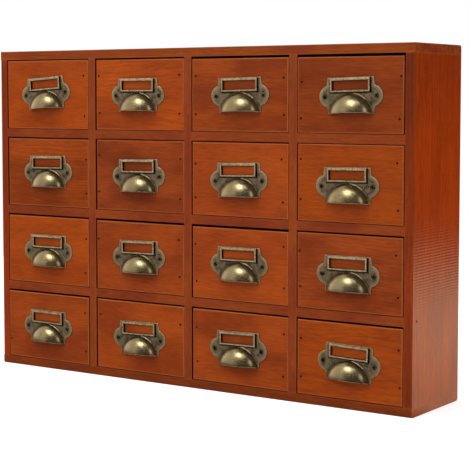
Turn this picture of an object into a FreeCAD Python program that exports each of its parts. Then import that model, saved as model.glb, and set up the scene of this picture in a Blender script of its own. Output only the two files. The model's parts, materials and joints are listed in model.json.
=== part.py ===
import FreeCAD, Part
import math
import os

import Sketcher

# A tabletop spice cabinet: an open-fronted case of thin boards with a grid of small drawers, each
# with a stamped cup pull that carries a label frame.
#
# Millimetres. The origin is the centre of the case's underside, +Z is up, +X runs along the front
# and the drawer fronts face -Y. The drawer's box and the pull are modelled once, each in its own
# frame, and every pocket of the case gets a copy of them and a front that was trimmed to fit it.

ROWS = 4
COLUMNS = 4
ROW_LEVELS = {1: "upper", 2: "middle", 3: "lower"}
DIVIDER_PLACES = {1: "left", 2: "centre", 3: "right"}

# The sizes that can be set by themselves. Every piece is bound to them through the sheet.
SIZES = (
    ("case_width", 500.0, "case, outside, along X"),
    ("case_depth", 96.0, "case, outside, along Y"),
    ("case_height", 340.0, "case, outside, along Z"),
    ("board", 9.0, "thickness of the case's boards"),
    ("rear_rounding", 3.0, "radius on the rear outer edges of the top and bottom"),
    ("foot_rounding", 2.0, "radius on the bottom board's lower front edge"),
    ("edge_break", 0.5, "chamfer on the case's outer front edges"),
    ("back_panel", 4.0, "thickness of the back panel"),
    ("back_recess", 1.0, "back panel's depth inside the rear edges"),
    ("back_lip", 4.5, "depth of the rebate that holds the back panel"),
    ("back_fit", 0.2, "play of the back panel in its rebate, each edge"),
    ("front_board", 10.0, "thickness of a drawer front"),
    ("gap_above", 0.8, "clearance over a drawer front as it was cut, before trimming"),
    ("gap_below", 0.4, "clearance under a drawer front"),
    ("side_play", 1.8, "sideways play of a drawer, both sides together"),
    ("front_chamfer", 0.6, "chamfer round the face of a drawer front"),
    ("rear_gap", 3.0, "clearance behind a closed drawer"),
    ("drawer_side", 8.0, "thickness of a drawer's sides and back"),
    ("side_drop", 4.0, "how far the drawer's sides stop below an untrimmed front's top"),
    ("runner_gap", 0.1, "clearance under the drawer's sides"),
    ("drawer_bottom", 3.0, "thickness of a drawer's bottom panel"),
    ("groove_level", 4.0, "height of the bottom panel's groove over the drawer's lower edge"),
    ("groove_depth", 3.0, "depth of that groove"),
    ("groove_fit", 0.1, "play of the bottom panel in its groove, each face"),
    ("glue_line", 0.05, "gap between two glued boards"),
    ("pull_drop", 0.95, "how far the pull's centre sits below an untrimmed front's centre"),
    ("plate", 1.0, "thickness of the pull's sheet brass"),
    ("plate_height", 33.8, "pull, top edge to its two feet beside the mouth of the cup"),
    ("frame_margin", 3.4, "plate's top edge beyond the label frame, each side"),
    ("foot_margin", 1.6, "plate's feet beyond the mouth of the cup, each side"),
    ("ear_radius", 9.8, "radius of the two screw ears"),
    ("ear_inset", 0.6, "ears' centres inside the plate's feet, each side"),
    ("ear_drop", 17.3, "ears' centres below the plate's top edge"),
    ("ear_blend", 2.0, "radius where an ear runs into the plate"),
    ("frame_width", 42.0, "label frame, outside"),
    ("frame_tall", 13.3, "label frame, outside, top to bottom"),
    ("frame_stand", 1.6, "how far the label frame stands out of the plate"),
    ("frame_upright", 2.1, "width of the frame's two upright bars"),
    ("frame_head", 2.6, "width of the frame's upper bar"),
    ("frame_sill", 1.8, "width of the frame's lower bar"),
    ("frame_drop", 0.3, "frame's upper edge below the plate's top edge"),
    ("card_slot", 0.8, "thickness of the slot that a label card slides into"),
    ("card_lip", 0.9, "depth of the card slot behind the upper and lower bars"),
    ("cup_width", 45.0, "cup, outside, at its mouth"),
    ("cup_rise", 18.7, "cup, outside, feet to crown"),
    ("cup_depth", 11.5, "depth of the whole dome that the cup is the upper half of"),
    ("cup_wall", 1.0, "thickness of the cup's wall"),
    ("mouth_slant", 6.5, "degrees by which the cup's mouth rises towards its lip"),
)

# Sizes that follow from those, as expressions for FreeCAD to keep up to date.
HALF_WIDTH = "(Sizes.case_width / 2)"
HALF_DEPTH = "(Sizes.case_depth / 2)"
INSIDE_HALF = f"({HALF_WIDTH} - Sizes.board)"
TOP_INSIDE = "(Sizes.case_height - Sizes.board)"
POCKET_WIDTH = f"((Sizes.case_width - {COLUMNS + 1} * Sizes.board) / {COLUMNS})"
POCKET_HEIGHT = f"((Sizes.case_height - {ROWS + 1} * Sizes.board) / {ROWS})"
PITCH_X = f"({POCKET_WIDTH} + Sizes.board)"
PITCH_Z = f"({POCKET_HEIGHT} + Sizes.board)"
REBATE = "(Sizes.back_panel + Sizes.back_recess)"
POCKET_DEPTH = f"(Sizes.case_depth - {REBATE})"

FRONT_HALF = f"(({POCKET_WIDTH} - Sizes.side_play) / 2)"
FRONT_TOP = f"({POCKET_HEIGHT} - Sizes.gap_above)"
DRAWER_LENGTH = f"({POCKET_DEPTH} - Sizes.rear_gap)"
BOX_INSIDE_HALF = f"({FRONT_HALF} - Sizes.drawer_side)"
SIDE_TOP = f"({FRONT_TOP} - Sizes.side_drop)"
GROOVE_LOW = "(Sizes.runner_gap + Sizes.groove_level)"
GROOVE_HIGH = f"({GROOVE_LOW} + Sizes.drawer_bottom + 2 * Sizes.groove_fit)"
GROOVE_HALF = f"({BOX_INSIDE_HALF} + Sizes.groove_depth)"
PULL_CENTRE = f"((Sizes.gap_below + {FRONT_TOP}) / 2 - Sizes.pull_drop)"

PLATE_TOP = "(Sizes.plate_height / 2)"
MOUTH = "(-Sizes.plate_height / 2)"
TOP_HALF = "(Sizes.frame_width / 2 + Sizes.frame_margin)"
FOOT_HALF = "(Sizes.cup_width / 2 + Sizes.foot_margin)"
EAR_ASIDE = f"({FOOT_HALF} - Sizes.ear_inset)"
EAR_LEVEL = f"({PLATE_TOP} - Sizes.ear_drop)"
FRAME_TOP = f"({PLATE_TOP} - Sizes.frame_drop)"
FRAME_LOW = f"({FRAME_TOP} - Sizes.frame_tall)"
WINDOW_HALF = "(Sizes.frame_width / 2 - Sizes.frame_upright)"
WINDOW_TOP = f"({FRAME_TOP} - Sizes.frame_head)"
WINDOW_LOW = f"({FRAME_LOW} + Sizes.frame_sill)"
# The cup's edge on the plate is an arc through both ends of its mouth and its crown.
CUP_RADIUS = "((Sizes.cup_width ^ 2 / 4 + Sizes.cup_rise ^ 2) / (2 * Sizes.cup_rise))"
CUP_CENTRE = f"({MOUTH} + Sizes.cup_rise - {CUP_RADIUS})"

# The cup is a dome of flat facets, within 0.3 mm of the round one, so that sixteen stay light: the
# facets in a full turn, and how far each ring of corners leans over towards the crown, in degrees.
CUP_SIDES = 24
CUP_RING_ANGLES = (0, 24, 46, 66, 82)

# Nothing centres a drawer in its pocket. Each one has been pushed sideways by this share of half
# its play, to the right where positive, row by row from the top.
DRAWER_SHIFTS = (
    (0.2, 0.7, -0.1, -0.65),
    (0.5, 0.9, 0.2, -0.15),
    (-0.2, 0.4, 0.45, -0.2),
    (-0.9, 0.45, 0.55, 0.05),
)

# Every front was planed down until its drawer ran free: millimetres off its top.
FRONT_TRIMS = (
    (0.4, 0.9, 1.6, 1.9),
    (0.7, 0.3, 0.5, 0.0),
    (1.1, 1.5, 1.7, 0.9),
    (1.3, 0.9, 1.0, 1.2),
)

# The pulls were set by eye: millimetres to the right of and above their true place, and the
# degrees that each is out of level, anticlockwise where positive.
PULL_STRAYS = (
    ((-1.5, 2.3, 3.75), (-1.5, 0.4, 0.25), (1.3, 0.2, 1.25), (1.6, -0.5, 1.5)),
    ((0.4, 1.6, 1.0), (-1.0, 0.9, 1.0), (-0.3, 0.5, 1.5), (-2.0, -0.8, 0.75)),
    ((0.5, -0.2, 0.25), (-0.7, 0.5, 1.0), (-0.1, 0.9, 0.5), (-0.8, -0.2, 0.25)),
    ((-0.2, 0.9, -0.25), (-0.3, -0.2, 1.25), (-1.1, 0.6, 1.0), (0.6, -0.3, -1.75)),
)

doc = FreeCAD.newDocument("spice_cabinet")
sheet = doc.addObject("Spreadsheet::Sheet", "Sizes")
nodes = []


def write_sizes():
    for line, (alias, value, meaning) in enumerate(SIZES, 1):
        sheet.set(f"A{line}", alias)
        sheet.set(f"B{line}", str(value))
        sheet.set(f"C{line}", meaning)
        sheet.setAlias(f"B{line}", alias)
    doc.recompute()


def value(expression):
    """What an expression comes to now, as a number."""
    return float(sheet.evalExpression(expression))


def node(part):
    """Marks an object of the document as a piece that is written to a file of its own."""
    nodes.append(part)
    return part


# ---------------------------------------------------------------- making features


def new_body(name):
    body = doc.addObject("PartDesign::Body", name)
    body.Label = name
    return body


def new_sketch(body, name, plane, offset="0"):
    """An empty sketch on one of the body's own origin planes, moved along the plane's normal."""
    sketch = body.newObject("Sketcher::SketchObject", name)
    base = next(o for o in body.Origin.OriginFeatures if o.Role == plane)
    sketch.AttachmentSupport = [(base, "")]
    sketch.MapMode = "FlatFace"
    sketch.setExpression("AttachmentOffset.Base.z", offset)
    return sketch


def place_point(sketch, geometry, point, x, y):
    """Holds a point of the sketch at a pair of expressions."""
    for kind, expression in (("DistanceX", x), ("DistanceY", y)):
        rule = Sketcher.Constraint(kind, -1, 1, geometry, point, value(expression))
        index = sketch.addConstraint(rule)
        sketch.setExpression(f"Constraints[{index}]", expression)


def outline(body, name, plane, corners, offset="0"):
    """A closed sketch of straight edges through corners, each a pair of expressions."""
    sketch = new_sketch(body, name, plane, offset)
    points = [FreeCAD.Vector(value(x), value(y), 0) for x, y in corners]
    last = len(points) - 1
    for i, start in enumerate(points):
        end = points[0 if i == last else i + 1]
        sketch.addGeometry(Part.LineSegment(start, end), False)
    for i, (x, y) in enumerate(corners):
        before = last if i == 0 else i - 1
        sketch.addConstraint(Sketcher.Constraint("Coincident", before, 2, i, 1))
        place_point(sketch, i, 1, x, y)
    return sketch


def rectangle(body, name, plane, x_low, x_high, y_low, y_high, offset="0"):
    corners = ((x_low, y_low), (x_high, y_low), (x_high, y_high), (x_low, y_high))
    return outline(body, name, plane, corners, offset)


def circles(body, name, plane, centres, radius, offset="0"):
    """A sketch of equal circles round centres, each a pair of expressions."""
    sketch = new_sketch(body, name, plane, offset)
    for x, y in centres:
        middle = FreeCAD.Vector(value(x), value(y), 0)
        axis = FreeCAD.Vector(0, 0, 1)
        ring = sketch.addGeometry(Part.Circle(middle, axis, value(radius)), False)
        place_point(sketch, ring, 3, x, y)
        rule = Sketcher.Constraint("Radius", ring, value(radius))
        index = sketch.addConstraint(rule)
        sketch.setExpression(f"Constraints[{index}]", radius)
    return sketch


def pad(body, sketch, length, reverse=False, both_ways=False):
    """Adds material along the sketch's normal, or against it, or half to each side."""
    feature = body.newObject("PartDesign::Pad", f"{sketch.Name}_pad")
    feature.Profile = sketch
    feature.setExpression("Length", length)
    feature.Reversed = reverse
    feature.Midplane = both_ways
    return feature


def cut(body, sketch, length, reverse=False, both_ways=False):
    """Takes material away, against the sketch's normal unless reversed, and checks that it did."""
    doc.recompute()
    before = body.Shape.Volume
    feature = body.newObject("PartDesign::Pocket", f"{sketch.Name}_pocket")
    feature.Profile = sketch
    feature.setExpression("Length", length)
    feature.Reversed = reverse
    feature.Midplane = both_ways
    doc.recompute()
    if not body.Shape.Volume < before - 1:
        raise RuntimeError(f"{feature.Name} cuts nothing")
    return feature


def edges_where(feature, test):
    """The names of the feature's edges whose middle and direction pass the test."""
    doc.recompute()
    found = []
    for i, edge in enumerate(feature.Shape.Edges, 1):
        start = edge.valueAt(edge.FirstParameter)
        end = edge.valueAt(edge.LastParameter)
        if test((start + end) * 0.5, end - start):
            found.append(f"Edge{i}")
    return found


def round_over(body, feature, edges, radius):
    fillet = body.newObject("PartDesign::Fillet", f"{feature.Name}_round")
    fillet.Base = (feature, edges)
    fillet.setExpression("Radius", radius)
    return fillet


def bevel(body, feature, edges, size):
    chamfer = body.newObject("PartDesign::Chamfer", f"{feature.Name}_bevel")
    chamfer.Base = (feature, edges)
    chamfer.setExpression("Size", size)
    return chamfer


def near(a, b):
    return abs(a - b) < 1e-4


def plain_board(name, low, size):
    """A square-edged board: its lowest corner and its size, as expressions along X, Y and Z."""
    board = doc.addObject("Part::Box", name)
    board.Label = name
    for side, expression in zip(("Length", "Width", "Height"), size):
        board.setExpression(side, expression)
    for axis, expression in zip("xyz", low):
        board.setExpression(f"Placement.Base.{axis}", expression)
    return board


def mirrored(name, source):
    """A copy turned into its mirror image across the plane X = 0."""
    copy = doc.addObject("Part::Mirroring", name)
    copy.Label = name
    copy.Source = source
    copy.Normal = (1, 0, 0)
    return copy


def group(name, members):
    """Pieces that share one node, each still a solid of its own."""
    compound = doc.addObject("Part::Compound", name)
    compound.Label = name
    compound.Links = members
    return compound


def put(piece, place):
    """Binds the piece's origin to place: three expressions."""
    for axis, expression in zip("xyz", place):
        piece.setExpression(f"Placement.Base.{axis}", expression)


def copy_at(name, pattern, place, tilt=0.0):
    """The pattern again, with its own origin at place. Seen from the front it is turned
    anticlockwise about that point by tilt degrees."""
    copy = group(name, [pattern])
    copy.Placement.Rotation = FreeCAD.Rotation(FreeCAD.Vector(0, -1, 0), tilt)
    put(copy, place)
    return copy


# ---------------------------------------------------------------- the case


def end_board(name, low, rebate_low, outer_level, rounded_fronts):
    """The top or the bottom: full width, with a stopped rebate for the back panel inside."""
    body = new_body(name)
    section = rectangle(
        body, f"{name}_section", "YZ_Plane",
        f"-{HALF_DEPTH}", HALF_DEPTH, low, f"{low} + Sizes.board",
    )
    slab = pad(body, section, "Sizes.case_width", both_ways=True)

    def runs_along(middle, direction, y_side):
        level = near(middle.z, value(outer_level))
        side = near(middle.y, y_side * value(HALF_DEPTH))
        return level and side and near(direction.y, 0) and near(direction.z, 0)

    rear = edges_where(slab, lambda m, d: runs_along(m, d, 1))
    shaped = round_over(body, slab, rear, "Sizes.rear_rounding")
    front = edges_where(shaped, lambda m, d: runs_along(m, d, -1))
    if rounded_fronts:
        shaped = round_over(body, shaped, front, "Sizes.foot_rounding")
    else:
        shaped = bevel(body, shaped, front, "Sizes.edge_break")
    reach = f"({INSIDE_HALF} + Sizes.back_lip)"
    rebate = rectangle(
        body, f"{name}_rebate", "XZ_Plane",
        f"-{reach}", reach, rebate_low, f"{rebate_low} + Sizes.back_lip",
        offset=f"-{HALF_DEPTH}",
    )
    cut(body, rebate, REBATE, reverse=True)
    return node(body)


def side_board(name):
    """The left side, between the top and the bottom: its section carries the rear rebate."""
    body = new_body(name)
    outside = f"-{HALF_WIDTH}"
    inside = f"-{INSIDE_HALF}"
    lip = f"(-{INSIDE_HALF} - Sizes.back_lip)"
    shoulder = f"({HALF_DEPTH} - {REBATE})"
    corners = (
        (outside, f"-{HALF_DEPTH}"),
        (inside, f"-{HALF_DEPTH}"),
        (inside, shoulder),
        (lip, shoulder),
        (lip, HALF_DEPTH),
        (outside, HALF_DEPTH),
    )
    section = outline(body, f"{name}_section", "XY_Plane", corners, offset="Sizes.board")
    slab = pad(body, section, "Sizes.case_height - 2 * Sizes.board")

    def outer_front(middle, direction):
        upright = near(direction.x, 0) and near(direction.y, 0)
        return upright and near(middle.x, value(outside)) and middle.y < 0

    bevel(body, slab, edges_where(slab, outer_front), "Sizes.edge_break")
    return node(body)


def dividers():
    """Full-height uprights between the columns of drawers."""
    for column, place in DIVIDER_PLACES.items():
        name = f"divider_{place}"
        low = (
            f"-{HALF_WIDTH} + {column} * {PITCH_X}",
            f"-{HALF_DEPTH}",
            "Sizes.board",
        )
        size = ("Sizes.board", POCKET_DEPTH, "Sizes.case_height - 2 * Sizes.board")
        node(plain_board(name, low, size))


def shelves():
    """Short shelves that butt between the uprights, one node for each level."""
    for row, level in ROW_LEVELS.items():
        boards = []
        for column in range(COLUMNS):
            low = (
                f"-{INSIDE_HALF} + {column} * {PITCH_X}",
                f"-{HALF_DEPTH}",
                f"{TOP_INSIDE} - {row} * {PITCH_Z}",
            )
            size = (POCKET_WIDTH, POCKET_DEPTH, "Sizes.board")
            boards.append(plain_board(f"shelf_{level}_{column + 1}", low, size))
        node(group(f"shelves_{level}", boards))


def back_panel():
    """Thin sheet in the rebate round the rear of the case."""
    reach = f"({INSIDE_HALF} + Sizes.back_lip - Sizes.back_fit)"
    edge = "(Sizes.board - Sizes.back_lip + Sizes.back_fit)"
    low = (f"-{reach}", f"{HALF_DEPTH} - {REBATE}", edge)
    size = (f"2 * {reach}", "Sizes.back_panel", f"Sizes.case_height - 2 * {edge}")
    node(plain_board("back_panel", low, size))


def case():
    end_board("top_board", TOP_INSIDE, TOP_INSIDE, "Sizes.case_height", rounded_fronts=False)
    end_board("bottom_board", "0", "(Sizes.board - Sizes.back_lip)", "0", rounded_fronts=True)
    left = side_board("left_side")
    node(mirrored("right_side", left))
    dividers()
    shelves()
    back_panel()


# ---------------------------------------------------------------- one drawer
# Its frame: X = 0 in the middle of the pocket, Y = 0 at the drawer's face, Z = 0 on the shelf.


def drawer_front(name, trim, place):
    """A front that has lost trim off its top, with the bottom panel's groove behind."""
    body = new_body(name)
    face = rectangle(
        body, f"{name}_face", "XZ_Plane",
        f"-{FRONT_HALF}", FRONT_HALF, "Sizes.gap_below", f"{FRONT_TOP} - {trim}",
    )
    slab = pad(body, face, "Sizes.front_board", reverse=True)
    rim = edges_where(slab, lambda m, d: near(m.y, 0) and near(d.y, 0))
    bevel(body, slab, rim, "Sizes.front_chamfer")
    groove = rectangle(
        body, f"{name}_groove", "YZ_Plane",
        "Sizes.front_board - Sizes.groove_depth", "Sizes.front_board", GROOVE_LOW, GROOVE_HIGH,
    )
    cut(body, groove, f"2 * {GROOVE_HALF}", both_ways=True)
    put(body, place)
    return body


def drawer_side():
    """The right side, behind the front, with the bottom panel's groove in its section."""
    body = new_body("drawer_side_right")
    outside = FRONT_HALF
    inside = BOX_INSIDE_HALF
    corners = (
        (inside, "Sizes.runner_gap"),
        (outside, "Sizes.runner_gap"),
        (outside, SIDE_TOP),
        (inside, SIDE_TOP),
        (inside, GROOVE_HIGH),
        (GROOVE_HALF, GROOVE_HIGH),
        (GROOVE_HALF, GROOVE_LOW),
        (inside, GROOVE_LOW),
    )
    section = outline(body, "side_section", "XZ_Plane", corners, offset="-Sizes.front_board")
    pad(body, section, f"{DRAWER_LENGTH} - Sizes.front_board", reverse=True)
    return body


def drawer_box():
    """Two sides, a back between them and a bottom panel in the grooves, under the back."""
    right = drawer_side()
    left = mirrored("drawer_side_left", right)
    back_low = f"({GROOVE_HIGH} + Sizes.glue_line)"
    back_half = f"({BOX_INSIDE_HALF} - Sizes.glue_line)"
    back = plain_board(
        "drawer_back",
        (f"-{back_half}", f"{DRAWER_LENGTH} - Sizes.drawer_side", back_low),
        (f"2 * {back_half}", "Sizes.drawer_side", f"{SIDE_TOP} - {back_low}"),
    )
    panel_half = f"({GROOVE_HALF} - Sizes.groove_fit)"
    panel_front = "(Sizes.front_board - Sizes.groove_depth + Sizes.groove_fit)"
    bottom = plain_board(
        "drawer_bottom",
        (f"-{panel_half}", panel_front, f"{GROOVE_LOW} + Sizes.groove_fit"),
        (f"2 * {panel_half}", f"{DRAWER_LENGTH} - {panel_front}", "Sizes.drawer_bottom"),
    )
    return group("drawer_box", [left, right, back, bottom])


# ---------------------------------------------------------------- one pull
# Its frame: X = 0 in the middle, Y = 0 on the drawer's face, Z = 0 half way up the plate.


def pull_plate():
    """Flat plate with two round ears and the raised label frame, pierced by the frame's window."""
    body = new_body("pull_plate")
    shield = outline(body, "shield", "XZ_Plane", (
        (f"-{TOP_HALF}", PLATE_TOP),
        (f"-{FOOT_HALF}", MOUTH),
        (FOOT_HALF, MOUTH),
        (TOP_HALF, PLATE_TOP),
    ))
    pad(body, shield, "Sizes.plate")
    ears = circles(body, "ears", "XZ_Plane", (
        (f"-{EAR_ASIDE}", EAR_LEVEL),
        (EAR_ASIDE, EAR_LEVEL),
    ), "Sizes.ear_radius")
    eared = pad(body, ears, "Sizes.plate")

    def inner_corner(middle, direction):
        """The four upright edges where an ear's circle meets the plate's straight side."""
        across = near(direction.x, 0) and near(direction.z, 0)
        level = abs(middle.z - value(EAR_LEVEL))
        return across and level < value("Sizes.ear_radius") and level > 1

    blends = edges_where(eared, inner_corner)
    round_over(body, eared, blends, "Sizes.ear_blend")

    frame = rectangle(
        body, "label_frame", "XZ_Plane",
        "-Sizes.frame_width / 2", "Sizes.frame_width / 2", FRAME_LOW, FRAME_TOP,
        offset="Sizes.plate",
    )
    pad(body, frame, "Sizes.frame_stand")
    window = rectangle(
        body, "label_window", "XZ_Plane",
        f"-{WINDOW_HALF}", WINDOW_HALF, WINDOW_LOW, WINDOW_TOP,
    )
    cut(body, window, "Sizes.plate + Sizes.frame_stand", reverse=True)
    slot = rectangle(
        body, "card_slot_section", "YZ_Plane",
        "-Sizes.plate - Sizes.card_slot", "-Sizes.plate",
        f"{WINDOW_LOW} - Sizes.card_lip", f"{WINDOW_TOP} + Sizes.card_lip",
    )
    cut(body, slot, "Sizes.frame_width", both_ways=True)
    return body


def dome(name, radius, depth, run_out=0):
    """A dome of flat facets that bulges along -Y from the drawer's face, and carries on behind
    it for run_out. Its rings of corners lie on an ellipsoid of revolution about Y."""
    rings = []

    def add_ring(ring_radius, y):
        turns = [2 * math.pi * k / CUP_SIDES for k in range(CUP_SIDES)]
        rings.append([
            FreeCAD.Vector(ring_radius * math.cos(a), y, ring_radius * math.sin(a))
            for a in turns
        ])

    def facet(corners):
        return Part.Face(Part.makePolygon(corners + corners[:1]))

    if run_out:
        add_ring(radius, run_out)
    for angle in CUP_RING_ANGLES:
        lean = math.radians(angle)
        add_ring(radius * math.cos(lean), -depth * math.sin(lean))
    faces = [facet(rings[0]), facet(rings[-1])]
    for ring, further in zip(rings, rings[1:]):
        for k in range(CUP_SIDES):
            after = (k + 1) % CUP_SIDES
            faces.append(facet([ring[k], ring[after], further[after], further[k]]))
    solid = Part.Solid(Part.Shell(faces))
    if solid.Volume < 0:
        solid.reverse()
    feature = doc.addObject("Part::Feature", name)
    feature.Label = name
    feature.Shape = solid
    feature.setExpression("Placement.Base.z", CUP_CENTRE)
    return feature


def boolean(kind, name, base, tool):
    feature = doc.addObject(f"Part::{kind}", name)
    feature.Label = name
    feature.Base = base
    feature.Tool = tool
    return feature


def pull():
    """The plate and its cup, drawn from one sheet: the cup is open below and behind."""
    plate = pull_plate()
    radius = value(CUP_RADIUS)
    depth = value("Sizes.cup_depth")
    wall = value("Sizes.cup_wall")
    outside = dome("cup_outside", radius, depth)
    inside = dome("cup_inside", radius - wall, depth - wall, run_out=value("Sizes.plate"))
    # The mouth rises towards its lip, so the block that opens it starts behind the drawer's face.
    under_mouth = plain_board(
        "under_mouth",
        (
            f"-{CUP_RADIUS}",
            "Sizes.cup_depth",
            f"{MOUTH} - Sizes.cup_depth * tan(Sizes.mouth_slant)",
        ),
        (f"2 * {CUP_RADIUS}", "3 * Sizes.cup_depth", f"2 * {CUP_RADIUS}"),
    )
    under_mouth.Placement.Rotation = FreeCAD.Rotation(FreeCAD.Vector(1, 0, 0), 180)
    under_mouth.setExpression("Placement.Rotation.Angle", "180 - Sizes.mouth_slant")
    block = boolean("Cut", "cup_block", outside, under_mouth)
    blank = boolean("Fuse", "pull_blank", plate, block)
    return boolean("Cut", "pull", blank, inside)


# ---------------------------------------------------------------- the drawers in their pockets


def drawers():
    box = drawer_box()
    grip = pull()
    for row in range(ROWS):
        for column in range(COLUMNS):
            share = DRAWER_SHIFTS[row][column]
            pocket_middle = f"{column} * {PITCH_X} + {POCKET_WIDTH} / 2 - {INSIDE_HALF}"
            x = f"{pocket_middle} + ({share}) * Sizes.side_play / 2"
            y = f"-{HALF_DEPTH}"
            z = f"Sizes.board + {ROWS - 1 - row} * {PITCH_Z}"
            name = f"drawer_r{row + 1}_c{column + 1}"
            node(drawer_front(f"{name}_front", FRONT_TRIMS[row][column], (x, y, z)))
            node(copy_at(f"{name}_box", box, (x, y, z)))
            aside, up, tilt = PULL_STRAYS[row][column]
            pull_place = (f"{x} + ({aside})", y, f"{z} + {PULL_CENTRE} + ({up})")
            node(copy_at(f"{name}_pull", grip, pull_place, tilt))


def check_document():
    """Stops the build if a feature failed or a piece has no sound shape."""
    for item in doc.Objects:
        if "Invalid" in item.State or "Error" in item.State:
            raise RuntimeError(f"{item.Label} failed: {item.State}")
    for piece in nodes:
        if piece.Shape.isNull() or not piece.Shape.isValid() or not piece.Shape.Solids:
            raise RuntimeError(f"{piece.Label} has no valid shape")


def write_pieces():
    os.makedirs("parts", exist_ok=True)
    for piece in nodes:
        piece.Shape.exportStep(f"parts/{piece.Label}.step")


write_sizes()
case()
drawers()
doc.recompute()
check_document()
write_pieces()
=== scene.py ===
import json
import math
import random

import bmesh
import bpy
from bpy.props import FloatProperty, FloatVectorProperty, IntProperty, PointerProperty
from mathutils import Matrix, Vector


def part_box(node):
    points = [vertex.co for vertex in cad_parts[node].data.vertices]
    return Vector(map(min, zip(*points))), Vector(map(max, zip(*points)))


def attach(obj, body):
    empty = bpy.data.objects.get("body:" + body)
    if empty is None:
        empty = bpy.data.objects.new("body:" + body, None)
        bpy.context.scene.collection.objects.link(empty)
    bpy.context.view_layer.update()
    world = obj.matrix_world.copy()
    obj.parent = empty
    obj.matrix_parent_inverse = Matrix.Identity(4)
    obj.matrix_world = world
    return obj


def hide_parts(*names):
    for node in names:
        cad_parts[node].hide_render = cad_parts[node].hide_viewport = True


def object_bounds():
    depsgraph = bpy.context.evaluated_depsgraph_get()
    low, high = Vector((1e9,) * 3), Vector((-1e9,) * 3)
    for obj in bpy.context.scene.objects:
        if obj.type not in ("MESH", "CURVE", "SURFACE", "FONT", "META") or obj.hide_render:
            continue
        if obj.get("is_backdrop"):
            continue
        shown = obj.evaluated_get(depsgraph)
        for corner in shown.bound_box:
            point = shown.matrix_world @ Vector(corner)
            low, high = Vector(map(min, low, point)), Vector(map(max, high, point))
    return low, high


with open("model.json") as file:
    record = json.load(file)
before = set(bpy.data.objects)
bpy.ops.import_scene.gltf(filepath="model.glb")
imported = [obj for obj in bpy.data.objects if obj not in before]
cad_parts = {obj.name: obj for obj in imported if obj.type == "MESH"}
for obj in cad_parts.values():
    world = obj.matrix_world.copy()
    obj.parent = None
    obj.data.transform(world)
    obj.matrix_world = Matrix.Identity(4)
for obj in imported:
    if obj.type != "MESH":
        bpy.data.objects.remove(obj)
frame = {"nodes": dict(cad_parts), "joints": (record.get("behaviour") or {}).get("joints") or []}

bl_info = {
    "name": "Spice drawer cabinet",
    "version": (1, 0, 0),
    "blender": (4, 5, 0),
    "location": "3D View > Sidebar > Spice cabinet",
    "description": "Dresses the packed cabinet: stained boards, brass cup pulls, screws and brads",
    "category": "Object",
}

# Blender works in metres. Sizes below that read better in millimetres are multiplied by MM.
MM = 0.001
# Places closer together than this count as the same.
NEAR = 0.1 * MM
CAD_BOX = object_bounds()

DRAWERS = sorted(joint["child"] for joint in frame["joints"])
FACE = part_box(f"{DRAWERS[0]}_front")[0].y
POCKET_LEFTS = [
    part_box(board)[1].x for board in ("left_side", "divider_left", "divider_centre", "divider_right")
]
POCKET_FLOORS = [
    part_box(board)[1].z for board in ("shelves_upper", "shelves_middle", "shelves_lower", "bottom_board")
]

# Places in the list of the pull's finishes. The rubbed one also serves as a painted highlight,
# and the nearly black hollow one also as painted shade.
PLATE, RUBBED_AND_HIGHLIT, CUP, HOLLOW_AND_SHADE = range(4)

# The pulls were set by eye: degrees that each is turned anticlockwise, in the order of DRAWERS.
PULL_TILTS = (
    3.75, 0.25, 1.25, 1.5,
    1.0, 1.0, 1.5, 0.75,
    0.25, 1.0, 0.5, 0.25,
    -0.25, 1.25, 1.0, -1.75,
)


def linear(code):
    """An sRGB hex colour, such as "8B3A1A", as the linear red, green, blue and alpha of a shader."""
    shares = [int(code[i:i + 2], 16) / 255 for i in (0, 2, 4)]
    return [c / 12.92 if c <= 0.04045 else ((c + 0.055) / 1.055) ** 2.4 for c in shares] + [1.0]


# ---------------- settings


def length(name, description, millimetres):
    return FloatProperty(
        name=name, description=description, default=millimetres * MM, min=0.0, unit="LENGTH", precision=5,
    )


def colour(name, description, value):
    return FloatVectorProperty(
        name=name, description=description, default=linear(value), size=4, min=0.0, max=1.0, subtype="COLOR",
    )


def degrees(name, description, value):
    return FloatProperty(name=name, description=description, default=math.radians(value), subtype="ANGLE")


def share(name, description, value):
    return FloatProperty(
        name=name, description=description, default=value, min=0.0, max=1.0, subtype="FACTOR",
    )


class StageSettings(bpy.types.PropertyGroup):
    azimuth: degrees("Azimuth", "Camera's turn to the right of straight on", 34.311)
    elevation: degrees("Elevation", "Camera's height over level", 4.071)
    distance: length("Distance", "Camera to the point it looks at", 1414.7)
    target: FloatVectorProperty(
        name="Target", description="Point on the drawer fronts that the camera looks at",
        default=(0.04833, FACE, 0.19060), subtype="XYZ", unit="LENGTH",
    )
    focal_length: FloatProperty(
        name="Focal length", description="Lens in millimetres on a 36 mm sensor", default=110.99,
    )
    shift_x: FloatProperty(name="Shift X", description="Sideways shift of the lens", default=0.0149)
    shift_y: FloatProperty(name="Shift Y", description="Upward shift of the lens", default=-0.0738)
    floor_size: length("Floor", "Width of the floor", 2500)
    floor_colour: colour("Floor colour", "Matt white table top", "E6E6E6")
    floor_mirrored: colour("Floor, mirrored", "The lit rear of the table top in reflections", "F0FFD9")
    floor_lift: share("Floor lift", "Light on the floor for the camera alone", 0.6)


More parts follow.
